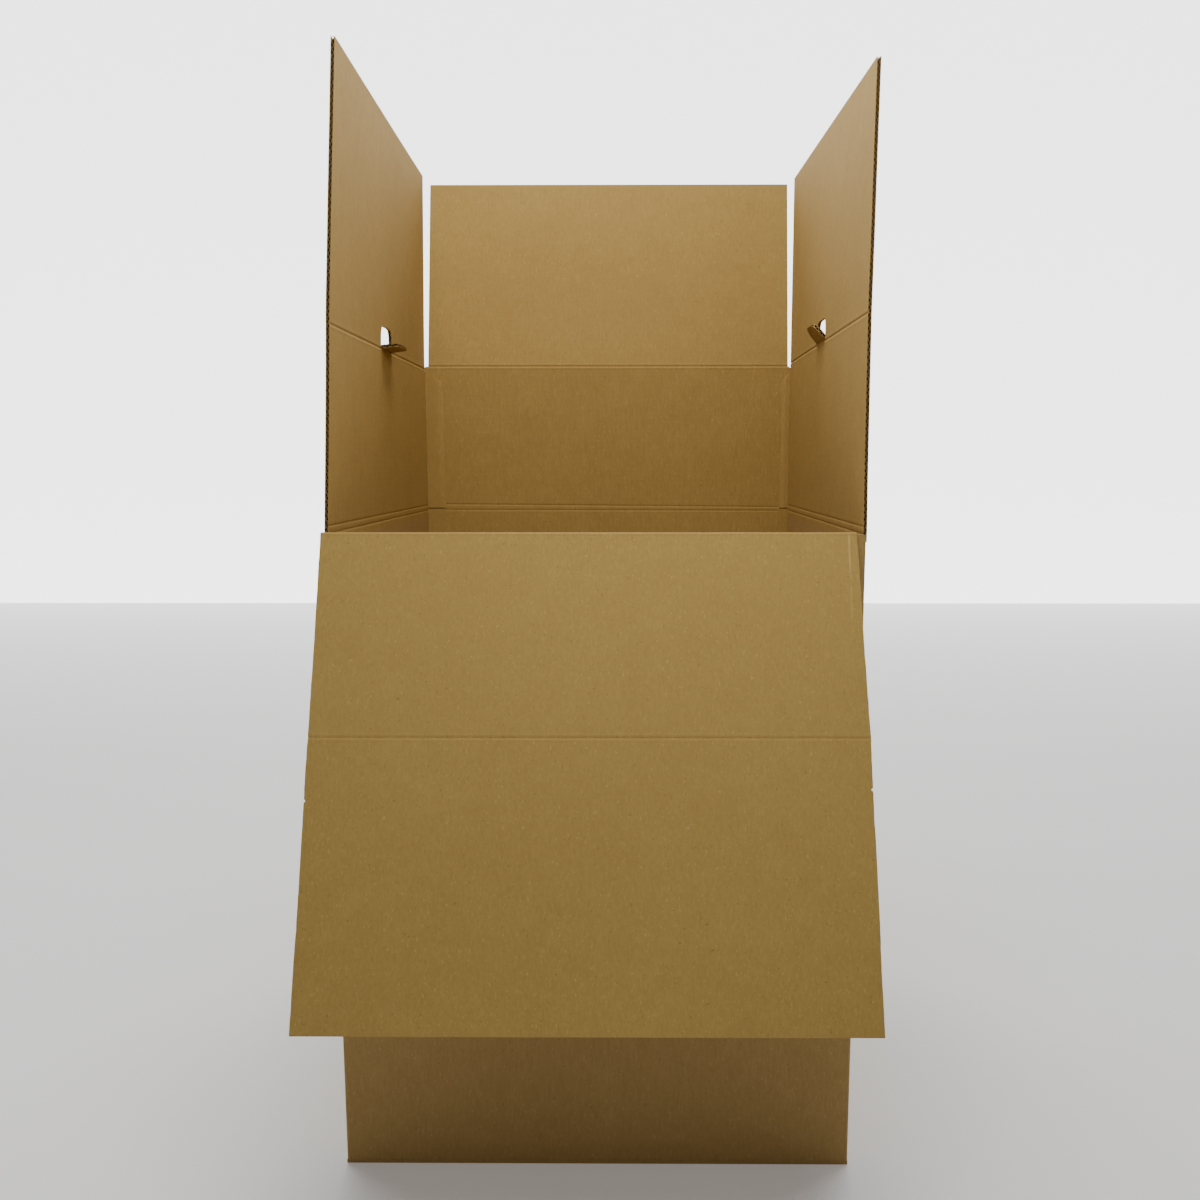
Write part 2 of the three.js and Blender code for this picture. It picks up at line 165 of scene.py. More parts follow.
# Smooth step from 0 at low to 1 at high
def ramp(values, low, high):
    share = np.clip((np.asarray(values, float) - low) / (high - low), 0, 1)
    return share * share * (3 - 2 * share)


# Rows of a panel, closer together near the lines listed in marks
def rows(start, end, step, marks=(), fine=0.5, reach=5.0):
    nearest = 0.3
    found = list(np.linspace(start, end, max(2, int(round(abs(end - start) / step)) + 1)))
    for mark in marks:
        close = np.arange(mark - reach, mark + reach + fine / 2, fine)
        found += [value for value in close if start < value < end]
    found = np.unique(np.round(found, 3))
    keep = [found[0]]
    for value in found[1:-1]:
        if value - keep[-1] > nearest and found[-1] - value > nearest:
            keep.append(value)
    return np.array(keep + [found[-1]])


CREASE_ROWS = rows(-CREASE_HALF, CREASE_HALF, step=0.5)


# Even shares of the way across a sheet
def even(columns):
    return np.linspace(0, 1, columns + 1)


# Free edge of a board at a value, slightly rough, with nicks given as (at, depth, width)
def edge(value, seed, nicks=()):
    def line(t):
        fine = wander(t, 3.1, seed)
        slow = wander(t, 40, seed + 9)
        found = value + EDGE_ROUGHNESS * fine + 2 * EDGE_ROUGHNESS * slow
        for at, depth, width in nicks:
            found = found - math.copysign(depth, value) * np.exp(-((t - at) / width) ** 2)
        return found
    return line


# A piece under construction: closed slabs, each with a material number.
# On a slab s runs along the flutes, t up from a crease or the floor, and d in from the outer face.
class Piece:
    def __init__(self):
        self.points = []
        self.faces = []
        self.marks = []
        self.count = 0

    # Closed slab between the lines first and last and between the depths low and high
    def slab(self, place, levels, shares, first, last, low, high, mark):
        t = np.repeat(levels[:, None], len(shares), 1)
        s = first(t) + (last(t) - first(t)) * shares[None, :]
        below = place(s, t, low(s, t)).reshape(-1, 3)
        above = place(s, t, high(s, t)).reshape(-1, 3)
        size = t.size
        grid = np.arange(size).reshape(t.shape)
        sheet = np.stack([grid[:-1, :-1], grid[:-1, 1:], grid[1:, 1:], grid[1:, :-1]], -1).reshape(-1, 4)
        ring = np.concatenate([grid[0, :-1], grid[:-1, -1], grid[-1, :0:-1], grid[:0:-1, 0]])
        after = np.roll(ring, -1)
        rim = np.stack([after, ring, ring + size, after + size], -1)
        quads = np.concatenate([sheet, sheet[:, ::-1] + size, rim])
        points = np.concatenate([below, above])
        corner = points[quads[0]]
        normal = np.cross(corner[1] - corner[0], corner[3] - corner[0])
        if normal @ (points[quads[0][0] + size] - corner[0]) > 0:
            quads = quads[:, ::-1]
        self.points.append(points)
        self.faces.append(quads + self.count)
        self.marks.append(np.full(len(quads), mark))
        self.count += len(points)

    # Corrugated board: two liners with a wavy medium between, the inner one pressed in by groove
    def board(self, place, levels, first, last, columns, groove=constant(0.0)):
        def inner_face(s, t):
            return BOARD - groove(s, t)

        def inner_liner(s, t):
            return BOARD - LINER - groove(s, t)

        def medium(shift):
            def depth(s, t):
                ceiling = inner_liner(s, t)
                reach = (ceiling - LINER) / 2 - MEDIUM_CLEARANCE
                return (LINER + ceiling) / 2 + reach * np.sin(2 * math.pi * t / FLUTE_PITCH) + shift
            return depth

        def ragged(line, way):
            return lambda t: line(t) + way * (MEDIUM_INSET + MEDIUM_RAGGED * wander(t, 2.3, 77))

        shares = even(columns)
        self.slab(place, levels, shares, first, last, constant(0.0), constant(LINER), OUTER_FACE)
        self.slab(place, levels, shares, first, last, inner_liner, inner_face, INNER_FACE)
        flute_rows = max(4, int((levels[-1] - levels[0]) / FLUTE_PITCH * ROWS_PER_FLUTE))
        self.slab(
            place, np.linspace(levels[0], levels[-1], flute_rows),
            even(min(columns, MOST_FLUTE_COLUMNS)), ragged(first, 1), ragged(last, -1),
            medium(-MEDIUM_HALF), medium(MEDIUM_HALF), FLUTES,
        )

    def make(self, name, materials):
        points = np.concatenate(self.points) * MM
        faces = np.concatenate(self.faces)
        mesh = bpy.data.meshes.new(name)
        mesh.vertices.add(len(points))
        mesh.vertices.foreach_set("co", points.ravel())
        mesh.loops.add(4 * len(faces))
        mesh.loops.foreach_set("vertex_index", faces.ravel())
        mesh.polygons.add(len(faces))
        mesh.polygons.foreach_set("loop_start", np.arange(0, 4 * len(faces), 4))
        mesh.polygons.foreach_set("material_index", np.concatenate(self.marks))
        for material in materials:
            mesh.materials.append(material)
        mesh.update(calc_edges=True)
        mesh.validate()
        mesh.shade_smooth()
        mesh.set_sharp_from_angle(angle=math.radians(35))
        made = bpy.data.objects.new(name, mesh)
        bpy.context.scene.collection.objects.link(made)
        return made


# Node helpers: each input is a socket or a plain value
def feed(tree, socket, value):
    if isinstance(value, bpy.types.NodeSocket):
        tree.links.new(value, socket)
    else:
        socket.default_value = value


def node(tree, kind, **inputs):
    made = tree.nodes.new(kind)
    for key, value in inputs.items():
        feed(tree, made.inputs[key], value)
    return made


def maths(tree, operation, *values):
    made = tree.nodes.new("ShaderNodeMath")
    made.operation = operation
    for socket, value in zip(made.inputs, values):
        feed(tree, socket, value)
    return made.outputs[0]


def mixed(tree, factor, a, b):
    made = tree.nodes.new("ShaderNodeMix")
    made.data_type = "RGBA"
    for number, value in ((0, factor), (6, a), (7, b)):
        feed(tree, made.inputs[number], value)
    return made.outputs[2]


def noise(tree, at, scale, stretch=(1, 1, 1), detail=2.0, rough=0.5):
    mapping = node(tree, "ShaderNodeMapping", Vector=at, Scale=stretch)
    made = node(
        tree, "ShaderNodeTexNoise", Vector=mapping.outputs[0], Scale=scale, Detail=detail, Roughness=rough)
    return made.outputs[0]


# Share of the way from low to high, held between 0 and 1
def band(tree, value, low, high):
    made = node(tree, "ShaderNodeMapRange", Value=value)
    made.inputs[1].default_value = low
    made.inputs[2].default_value = high
    return made.outputs[0]


def bumped(tree, shader, height, strength):
    bump = node(tree, "ShaderNodeBump", Height=height, Strength=strength, Distance=1.0)
    tree.links.new(bump.outputs[0], shader.inputs["Normal"])


def tinted(colour, shares):
    return (*(value * share for value, share in zip(colour, shares)), 1)


def new_material(name):
    made = bpy.data.materials.new(name)
    made.use_nodes = True
    return made, made.node_tree, made.node_tree.nodes["Principled BSDF"]


# Fine flecks of another colour, where a stretched noise is high
def flecked(tree, at, colour, stretch, detail, low, high, tint):
    mask = band(tree, noise(tree, at, 1.0, stretch, detail), low, high)
    return mixed(tree, maths(tree, "MULTIPLY", mask, 0.6), colour, tint)


# Painted highlight: a pale line down the right of the dropped front where a slight ridge catches the light,
# patchy and fading downwards
def painted_ridge_highlight(tree, at, split, colour, tint):
    middle = maths(tree, "MULTIPLY_ADD", split.outputs[2], -0.004, 0.2905)
    off = maths(tree, "ABSOLUTE", maths(tree, "SUBTRACT", split.outputs[0], middle))
    line = maths(tree, "SUBTRACT", 1.0, band(tree, off, 0.0004, 0.0016))
    fade = band(tree, split.outputs[2], 0.665, 0.775)
    patchy = maths(tree, "MULTIPLY", band(tree, noise(tree, at, 60.0), 0.35, 0.6), 0.55)
    mask = maths(tree, "MULTIPLY", maths(tree, "MULTIPLY", line, fade), patchy)
    return mixed(tree, mask, colour, tint)


# Brown paper: cloudy tone, fibres, pale and dark flecks, and flutes that show through faintly, with an
# optional painted highlight line along a ridge.
# Its flutes are stacked along z, or along y where level is true.
def kraft(name, light, dark, fibre=0.36, washboard=0.25, level=False, painted_highlight_line=False):
    made, tree, shader = new_material(name)
    at = tree.nodes.new("ShaderNodeTexCoord").outputs["Object"]
    split = node(tree, "ShaderNodeSeparateXYZ", Vector=at)
    broad = maths(tree, "MULTIPLY", noise(tree, at, 5.0, detail=3.0), 0.5)
    cloud = maths(tree, "MULTIPLY", noise(tree, at, 38.0, detail=4.0, rough=0.6), 0.5)
    tone = band(tree, maths(tree, "ADD", broad, cloud), 0.22, 0.78)
    colour = mixed(tree, tone, (*dark, 1), (*light, 1))
    streak = band(tree, noise(tree, at, 1.0, (330, 330, 70), detail=3.0, rough=0.65), 0.3, 0.7)
    streaked = maths(tree, "MULTIPLY", streak, fibre)
    colour = mixed(tree, streaked, colour, tinted(dark, (0.72, 0.70, 0.62)))
    pale = tinted(light, (1.25, 1.27, 1.4))
    colour = flecked(tree, at, colour, (520, 520, 200), 2.0, 0.62, 0.74, pale)
    deep = tinted(dark, (0.45, 0.4, 0.35))
    colour = flecked(tree, at, colour, (450, 450, 300), 1.0, 0.70, 0.78, deep)
    # Painted highlight: pale line where a slight ridge on the dropped front catches the light
    if painted_highlight_line:
        colour = painted_ridge_highlight(tree, at, split, colour, tinted(light, (1.5, 1.6, 2.0)))
    tree.links.new(colour, shader.inputs["Base Color"])
    shader.inputs["Roughness"].default_value = 0.82
    shader.inputs["Specular IOR Level"].default_value = 0.25
    along = split.outputs[1] if level else split.outputs[2]
    ripple = maths(tree, "SINE", maths(tree, "MULTIPLY", along, 2 * math.pi / (FLUTE_PITCH * MM)))
    grain = noise(tree, at, 260.0, detail=4.0, rough=0.7)
    slow = noise(tree, at, 14.0, detail=2.0)
    height = maths(tree, "MULTIPLY", ripple, washboard * 0.00005)
    for value, depth in ((grain, 0.00022), (slow, 0.0012), (streak, 0.00004)):
        height = maths(tree, "ADD", height, maths(tree, "MULTIPLY", value, depth))
    bumped(tree, shader, height, 0.8)
    return made


def tape_material():
    made, tree, shader = new_material("packing_tape")
    at = tree.nodes.new("ShaderNodeTexCoord").outputs["Object"]
    tone = band(tree, noise(tree, at, 30.0, (1, 8, 8), detail=3.0), 0.3, 0.7)
    colour = mixed(tree, tone, (0.36, 0.20, 0.065, 1), (0.46, 0.27, 0.095, 1))
    tree.links.new(colour, shader.inputs["Base Color"])
    shader.inputs["Roughness"].default_value = 0.22
    shader.inputs["Coat Weight"].default_value = 0.3
    wrinkle = noise(tree, at, 90.0, (1, 4, 4), detail=3.0)
    bumped(tree, shader, maths(tree, "MULTIPLY", wrinkle, 0.0006), 0.5)
    return made


def stage_material(name, grey, glow):
    made, _, shader = new_material(name)
    shader.inputs["Base Color"].default_value = (grey, grey, grey, 1)
    shader.inputs["Roughness"].default_value = 0.9
    shader.inputs["Emission Color"].default_value = (1, 1, 1, 1)
    shader.inputs["Emission Strength"].default_value = glow
    return made


INSIDE = kraft("kraft_inside", (0.465, 0.300, 0.086), (0.39, 0.245, 0.067))
# Inside of the dropped front, carrying the painted ridge highlight
FRONT = kraft("kraft_front", (0.495, 0.325, 0.092), (0.42, 0.268, 0.071), painted_highlight_line=True)
OUTSIDE = kraft("kraft_outside", (0.45, 0.29, 0.105), (0.38, 0.240, 0.08))
UNDER = kraft("kraft_under", (0.45, 0.29, 0.10), (0.37, 0.23, 0.076), level=True)
MEDIUM = kraft("kraft_medium", (0.42, 0.26, 0.09), (0.30, 0.175, 0.06), fibre=0.3, washboard=0.0)
PAPERS = [OUTSIDE, INSIDE, MEDIUM]
FRONTS = [OUTSIDE, FRONT, MEDIUM]
WALLS = [OUTSIDE, INSIDE, MEDIUM, UNDER]


# Groove pressed into the inside along a line t = line(s)
def score(line, depth=0.45):
    return lambda s, t: depth * np.exp(-np.abs((t - line(s)) / SCORE_WIDTH) ** GROOVE_SHARPNESS)


def added(*grooves):
    return lambda s, t: sum(groove(s, t) for groove in grooves)


# A crease is a groove with a slight ridge on each side
def crease_groove(s, t):
    pressed = CREASE_DEPTH * np.exp(-np.abs(t / CREASE_WIDTH) ** GROOVE_SHARPNESS)
    ridge = RIDGE_HEIGHT * np.exp(-((np.abs(t) - RIDGE_AT) / RIDGE_WIDTH) ** 2)
    return pressed - ridge


# Half the width, at height t, of a shape with straight sides and round upper corners
def half_width(half, height, radius):
    def line(t):
        over = np.clip(t - (height - radius), 0, radius)
        return half - radius + np.sqrt(np.maximum(radius ** 2 - over ** 2, 0))
    return line


def mirrored(line):
    return lambda t: -line(t)


# Lower walls: one sheet along the left side, round the front and back along the right side
REACH = HALF - CORNER
TURN_RUN = CORNER * math.pi / 2
LEFT_END = BACK_Y + REACH
FRONT_START = LEFT_END + TURN_RUN
FRONT_END = FRONT_START + 2 * REACH
RIGHT_START = FRONT_END + TURN_RUN
PATH_LENGTH = RIGHT_START + BACK_Y + REACH


def wall_path(s, d):
    first = (s - LEFT_END) / CORNER
    second = (s - FRONT_END) / CORNER
    radius = CORNER - d
    stretches = [s < LEFT_END, s < FRONT_START, s < FRONT_END, s < RIGHT_START]
    x = np.select(
        stretches,
        [d - HALF, -REACH - radius * np.cos(first), s - FRONT_START - REACH, REACH + radius * np.sin(second)],
        HALF - d,
    )
    y = np.select(
        stretches,
        [BACK_Y - s, -REACH - radius * np.sin(first), d - HALF, -REACH - radius * np.cos(second)],
        s - RIGHT_START - REACH,
    )
    return x, y


# The walls bow in slightly between the floor and the score
FRONT_BOW = 1.6
SIDE_BOW = 1.4
BOW_FOOT = (20, 120)
BOW_HEAD = (640, 760)
FACE_DEPTH = 6


def lower_wall_place(s, t, d):
    x, y = wall_path(s, d)
    inward = ramp(t, *BOW_FOOT) * (1 - ramp(t, *BOW_HEAD))
    on_front = y < -HALF + FACE_DEPTH
    y = y + on_front * inward * FRONT_BOW * (1 - (x / HALF) ** 2)
    on_side = np.abs(x) > HALF - FACE_DEPTH
    x = x - np.sign(x) * on_side * inward * SIDE_BOW * (1 - (y / HALF) ** 2)
    return np.stack([x, y, t], -1)


# The head of the lower front wall, cut back below the fold
def front_top_place(s, t, d):
    cut = LOWER_SCORE - 0.15 - np.maximum(FOLD_AXIS - d, 0) * FOLD_CUT_SLOPE
    top = np.minimum(cut, LOWER_SCORE - FOLD_HALF + FOLD_LAP)
    z = LOWER_TOP + (t - LOWER_TOP) / (LOWER_SCORE - LOWER_TOP) * (top - LOWER_TOP)
    return np.stack([s, d - HALF, z], -1)


# The free end of that head, right of the dropped front
def front_end_place(s, t, d):
    return np.stack([s, d - HALF, t], -1)


def lower_walls():
    stretches = (
        (0, LEFT_END, 14), (LEFT_END, FRONT_START, 7), (FRONT_START, FRONT_END, 25),
        (FRONT_END, RIGHT_START, 7), (RIGHT_START, PATH_LENGTH, 14),
    )
    stations = [0.0]
    for start, end, count in stretches:
        stations.extend(np.linspace(start, end, count)[1:])
    depths = (constant(WALL_SKIN), constant(BOARD))
    front_end = PANEL_RIGHT + 0.2
    piece = Piece()
    piece.slab(
        lower_wall_place, rows(WALL_FOOT, LOWER_TOP, step=24), np.array(stations) / PATH_LENGTH,
        constant(0.0), constant(PATH_LENGTH), *depths, OUTER_FACE,
    )
    piece.slab(
        front_top_place, np.array([LOWER_TOP, 772.0, LOWER_SCORE]), even(24),
        constant(-HALF + CORNER - 4), constant(front_end), *depths, OUTER_FACE,
    )
    piece.slab(
        front_end_place, np.array([LOWER_TOP, LOWER_SCORE - 0.4]), even(2),
        constant(front_end), constant(HALF - 1.2), *depths, OUTER_FACE,
    )
    return piece


# Side walls above the lower walls: side is the sign of x, lean how far the front end leans in,
# and the tilts, in degrees, how far the flap is twisted in at its front and back
SIDES = (
    SimpleNamespace(
        name="left", side=-1, lean=11.0, crease=CREASE - CREASE_STEP, seed=10,
        front_end=-HALF + 10.0, back_end=HALF - 12.0, front_length=302.0, back_length=308.0,
        front_tilt=3.4, back_tilt=1.0, tongue_angle=83.0, tongue_radius=13.5,
    ),
    SimpleNamespace(
        name="right", side=1, lean=2.0, crease=CREASE + CREASE_STEP, seed=40,
        front_end=-HALF, back_end=HALF - 10.0, front_length=266.0, back_length=294.0,
        front_tilt=-0.42, back_tilt=0.0, tongue_angle=40.0, tongue_radius=19.0,
    ),
)


# Bow of the upper side walls, and how their flaps' twist grows forwards and up from the crease
UPPER_BOW = 1.3
UPPER_BOW_SWING = 2.2
TWIST_GROWTH = 1.15
TILT_START = 9.0
DIP_END = 8


def lean_at(wall, y):
    return wall.lean * (HALF - y) / (2 * HALF)


def side_wall_place(wall):
    def place(s, t, d):
        up = np.clip((t - LOWER_SCORE) / (wall.crease - LOWER_SCORE), 0, None)
        swing = 0.5 + 0.5 * np.cos(s / HALF * UPPER_BOW_SWING)
        bow = UPPER_BOW * np.sin(np.minimum(up, 1) * math.pi) * swing
        inward = d + lean_at(wall, s) * up + bow
        return np.stack([wall.side * (HALF - inward), s, t], -1)
    return place


def side_flap_place(wall):
    def place(s, t, d):
        share = (HALF - s) / (2 * HALF)
        front_share = np.clip(share, 0, 1) ** TWIST_GROWTH
        tilt = np.radians(wall.back_tilt + (wall.front_tilt - wall.back_tilt) * front_share)
        length = wall.back_length + (wall.front_length - wall.back_length) * share
        above_slot = (t - SLOT_HEIGHT) / (wall.back_length - SLOT_HEIGHT)
        t = t * np.where(t > SLOT_HEIGHT, 1 + (length / wall.back_length - 1) * above_slot, 1)
        rise = t * t / (t + TILT_START) * (t > 0)
        across = d - AXIS_INSET
        inward = AXIS_INSET + lean_at(wall, s) + np.tan(tilt) * rise + across * np.cos(tilt)
        dip = across * np.sin(tilt) * (t > 0) * ramp(t, 0, DIP_END)
        height = wall.crease + t * np.where(t > 0, np.cos(tilt), 1) - dip
        return np.stack([wall.side * (HALF - inward), s, height], -1)
    return place


# Upper part of a side wall, with the foot of the slot, where the tongue folds in
def side_wall(wall):
    place = side_wall_place(wall)
    piece = Piece()
    piece.board(
        place, rows(LOWER_TOP, wall.crease - CREASE_HALF, step=12, marks=(LOWER_SCORE, UPPER_SCORE)),
        edge(wall.front_end, wall.seed), constant(BACK_Y), columns=14,
        groove=added(score(constant(LOWER_SCORE)), score(constant(UPPER_SCORE))),
    )
    piece.board(
        place, rows(wall.crease - CREASE_HALF, wall.crease, step=1.2),
        constant(-SLOT_HALF), constant(SLOT_HALF), columns=4,
    )
    made = piece.make(f"{wall.name}_wall_upper", PAPERS)
    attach(made, "carton")


def flap_edges(wall):
    return edge(wall.front_end, wall.seed + 3), edge(wall.back_end, wall.seed + 4)


def side_flap(wall):
    place = side_flap_place(wall)
    front_edge, back_edge = flap_edges(wall)
    half_slot = half_width(SLOT_HALF, SLOT_HEIGHT, SLOT_RADIUS)
    slot_rows = rows(CREASE_HALF, SLOT_HEIGHT, step=3, marks=(SLOT_HEIGHT,), fine=0.6, reach=11)
    piece = Piece()
    piece.board(place, slot_rows, front_edge, mirrored(half_slot), columns=8)
    piece.board(place, slot_rows, half_slot, back_edge, columns=8)
    piece.board(place, rows(SLOT_HEIGHT, wall.back_length, step=12), front_edge, back_edge, columns=18)
    made = piece.make(f"{wall.name}_flap_board", PAPERS)
    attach(made, f"{wall.name}_flap")
    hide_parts(f"{wall.name}_top_flap")


# Crease strip of a side flap, in front of the slot and behind it
def side_fold(wall):
    below = side_wall_place(wall)
    above = side_flap_place(wall)
    front_edge, back_edge = flap_edges(wall)

    def place(s, t, d):
        low = below(s, wall.crease + np.minimum(t, 0), d)
        high = above(s, np.maximum(t, 0), d)
        return np.where((t < 0)[..., None], low, high)

    piece = Piece()
    for first, last in ((front_edge, constant(-SLOT_HALF)), (constant(SLOT_HALF), back_edge)):
        piece.board(place, CREASE_ROWS, first, last, columns=10, groove=crease_groove)
    made = piece.make(f"{wall.name}_flap_fold", PAPERS)
    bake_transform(made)


# Tongue folded in about the crease along an arc, round at its free corners
def tongue(wall):
    def turned(t):
        return math.radians(wall.tongue_angle) * ramp(t, 0, TONGUE_BEND)

    def place(s, t, d):
        along_in = np.zeros_like(t)
        along_up = np.zeros_like(t)
        for step in range(TONGUE_ARC_STEPS):
            way = turned(t * (step + 0.5) / TONGUE_ARC_STEPS)
            along_in = along_in + np.sin(way) * t / TONGUE_ARC_STEPS
            along_up = along_up + np.cos(way) * t / TONGUE_ARC_STEPS
        across = (d - AXIS_INSET) * (0.8 + 0.2 * ramp(np.abs(t - TONGUE_BEND / 2), 1, 5))
        inward = AXIS_INSET + lean_at(wall, s) + along_in + across * np.cos(turned(t))
        height = wall.crease + along_up - across * np.sin(turned(t))
        return np.stack([wall.side * (HALF - inward), s, height], -1)

    half_tongue = half_width(TONGUE_HALF, TONGUE_LENGTH, wall.tongue_radius)
    piece = Piece()
    marks = (TONGUE_LENGTH, TONGUE_BEND / 2)
    tongue_rows = rows(0.0, TONGUE_LENGTH, step=1.5, marks=marks, fine=0.6, reach=6)
    piece.board(place, tongue_rows, mirrored(half_tongue), half_tongue, columns=6)
    made = piece.make(f"{wall.name}_tongue", PAPERS)
    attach(made, "carton")
    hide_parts(f"{wall.name}_bar_tongue")
    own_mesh(made)


for wall in SIDES:
    side_wall(wall)
    side_flap(wall)
    side_fold(wall)
for wall in SIDES:
    tongue(wall)


# Bottom flaps lie flat: front and back ones below, side ones on them
def flat_place(s, t, d):
    return np.stack([s, t, d], -1)


def flat_flap(piece, left, right, front, back, floor, mark):
    piece.slab(
        flat_place, rows(front, back, step=30), even(8), constant(left), constant(right),
        constant(floor + WALL_SKIN), constant(floor + BOARD), mark,
    )


# Glue tab inside a back corner, crushed to the thickness rim at its free edge.
# It is width wide from its foot to its shoulder and narrows to top_width at its top.
def tab(piece, side, foot, shoulder, top, width, top_width, rim):
    crushed_run = 7
    root = HALF - 3.0
    overlap = 0.2
    free_edge = HALF - max(width, top_width)

    def place(s, t, d):
        return np.stack([side * s, BACK_Y - d, t], -1)

    def free(t):
        return HALF - np.interp(t, [shoulder, top], [width, top_width])

    def face(s, t):
        return BOARD - (BOARD - rim) * (1 - ramp(s, free_edge, free_edge + crushed_run))

    piece.slab(
        place, rows(foot, top, step=10), even(8), free, constant(root),
        constant(-overlap), face, INNER_FACE,
    )


FLAP_SIDE = HALF - 0.6
FLAP_SEAM = 0.5
INNER_FLAP_SIDE = INNER + 1.0
INNER_FLAP_FRONT = -INNER + 1.0
INNER_FLAP_BACK = 299.0
INNER_FLOOR = BOARD + LAYER_GAP
walls = lower_walls()
flat_flap(walls, -FLAP_SIDE, FLAP_SIDE, -HALF + 0.3, -FLAP_SEAM, 0.0, UNDERSIDE)
flat_flap(walls, -INNER_FLAP_SIDE, -FLAP_SEAM, INNER_FLAP_FRONT, INNER_FLAP_BACK, INNER_FLOOR, INNER_FACE)
flat_flap(walls, FLAP_SEAM, INNER_FLAP_SIDE, INNER_FLAP_FRONT, INNER_FLAP_BACK, INNER_FLOOR, INNER_FACE)
tab(walls, -1, foot=781.4, shoulder=984.0, top=999.0, width=34.5, top_width=20.0, rim=1.2)
tab(walls, 1, foot=781.4, shoulder=990.0, top=1004.0, width=18.5, top_width=8.0, rim=2.0)
tab(walls, -1, foot=16.0, shoulder=735.0, top=779.8, width=42.5, top_width=34.5, rim=2.2)
tab(walls, 1, foot=16.0, shoulder=735.0, top=779.8, width=27.5, top_width=18.5, rim=4.3)
walls_object = walls.make("lower_walls", WALLS)
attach(walls_object, "carton")
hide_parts("carton_body")


# Back wall with its bottom flap, its two scores sloping down to the right
def sloping(height, drop):
    half_span = 280
    return lambda s: height - (s + half_span) / (2 * half_span) * drop


def back_place(s, t, d):
    return np.stack([s, HALF - d, t], -1)


BACK_INSET = 0.4
BACK_SCORE_DEPTH = 0.5
back_upper_score = score(sloping(UPPER_SCORE + 1.6, drop=4.6), BACK_SCORE_DEPTH)
back_lower_score = score(sloping(LOWER_SCORE + 0.6, drop=1.4), BACK_SCORE_DEPTH)
back = Piece()
back.board(
    back_place, rows(0.2, CREASE - CREASE_HALF, step=24, marks=(LOWER_SCORE, UPPER_SCORE), reach=7),
    edge(-HALF + BACK_INSET, 60), edge(HALF - BACK_INSET, 61), columns=40,
    groove=added(back_upper_score, back_lower_score),
)
flat_flap(back, -FLAP_SIDE, FLAP_SIDE, FLAP_SEAM, HALF - 0.3, 0.0, UNDERSIDE)
back_object = back.make("back_wall", WALLS)
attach(back_object, "carton")
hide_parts("back_panel")


# Back flap, leaning back from its crease
def back_flap_place(s, t, d):
    angle = BACK_LEAN * ramp(t, -CREASE_TURN, CREASE_TURN)
    across = d - AXIS_INSET
    y = HALF - AXIS_INSET - across * np.cos(angle) + t * np.sin(angle)
    z = CREASE + across * np.sin(angle) + t * np.cos(angle)
    return np.stack([s, y, z], -1)


# Ends of the back flap: clear of the side flaps, the left one tapering in towards the tip
BACK_LEFT_INSET = 5.2
BACK_LEFT_TAPER = 1.6
BACK_RIGHT_INSET = 3.8
BACK_ROUGHNESS = 0.15


def back_left(t):
    taper = BACK_LEFT_TAPER * np.clip(t, 0, None) / BACK_LENGTH
    return -INNER + BACK_LEFT_INSET + taper + BACK_ROUGHNESS * wander(t, 3.0, 71)


def back_right(t):
    return INNER - BACK_RIGHT_INSET + BACK_ROUGHNESS * wander(t, 3.0, 72)


def back_fold_left(t):
    return np.where(t < 0, -HALF + BACK_INSET + (t + CREASE_HALF) * 0.6, back_left(t))


def back_fold_right(t):
    return np.where(t < 0, HALF - BACK_INSET - (t + CREASE_HALF) * 0.9, back_right(t))


back_flap = Piece()
back_flap.board(
    back_flap_place, rows(CREASE_HALF, BACK_LENGTH, step=14), back_left, back_right, columns=16)
back_flap_object = back_flap.make("back_flap_board", PAPERS)
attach(back_flap_object, "back_flap")
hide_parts("back_top_flap")

back_fold = Piece()
back_fold.board(
    back_flap_place, CREASE_ROWS, back_fold_left, back_fold_right, columns=20, groove=crease_groove)
back_fold_object = back_fold.make("back_flap_fold", PAPERS)
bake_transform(back_fold_object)

# Axes of the two front folds, as (y, z)
STRIP_ORIGIN = np.array([-HALF + FOLD_AXIS, LOWER_SCORE])
PANEL_ORIGIN = STRIP_ORIGIN + SCORE_SPACING * np.array([-math.sin(FOLD_ANGLE), math.cos(FOLD_ANGLE)])


# Board hung from a fold axis, turned out by the angle turn(t)
def hung(origin, turn):
    def place(s, t, d):
        angle = turn(t)
        across = d - FOLD_AXIS
        y = origin[0] + across * np.cos(angle) - t * np.sin(angle)
        z = origin[1] + across * np.sin(angle) + t * np.cos(angle)
        return np.stack([s, y, z], -1)
    return place


straight_panel_place = hung(PANEL_ORIGIN, constant(2 * FOLD_ANGLE))


# The dropped panel swells slightly and is cut back at its fold
def panel_place(s, t, d):
    swell = 0.84
    cut_run = 6.0
    cut = np.maximum(FOLD_AXIS - d, 0) * FOLD_CUT_SLOPE
    near = np.clip(1 - (t - FOLD_HALF) / cut_run, 0, 1)
    t = t + near * np.maximum(cut - FOLD_HALF + FOLD_LAP, 0)
    swollen = swell * np.sin(np.clip(t / PANEL_LENGTH, 0, 1) * math.pi) * (1 - (s / HALF) ** 2)
    return straight_panel_place(s, t, d - swollen)


def front_flap_place(s, t, d):
    return straight_panel_place(s, PANEL_LENGTH + t, d)


# Ends of the dropped front, of which the right one widens towards its crease
FRONT_INSET = 0.4
WIDENING = 5.5
FLAP_WIDENING = 1.2
panel_left = edge(PANEL_LEFT + FRONT_INSET, 81)
strip_right = edge(PANEL_RIGHT - 0.3, 82)
LEFT_NICK = 68
RIGHT_NICK = 55
flap_left = edge(PANEL_LEFT + FRONT_INSET, 83, nicks=((LEFT_NICK, 1.8, 1.3), (200, 0.5, 2.0)))
nicked_right = edge(PANEL_RIGHT + 5.2, 84, nicks=((RIGHT_NICK, 2.0, 1.4),))


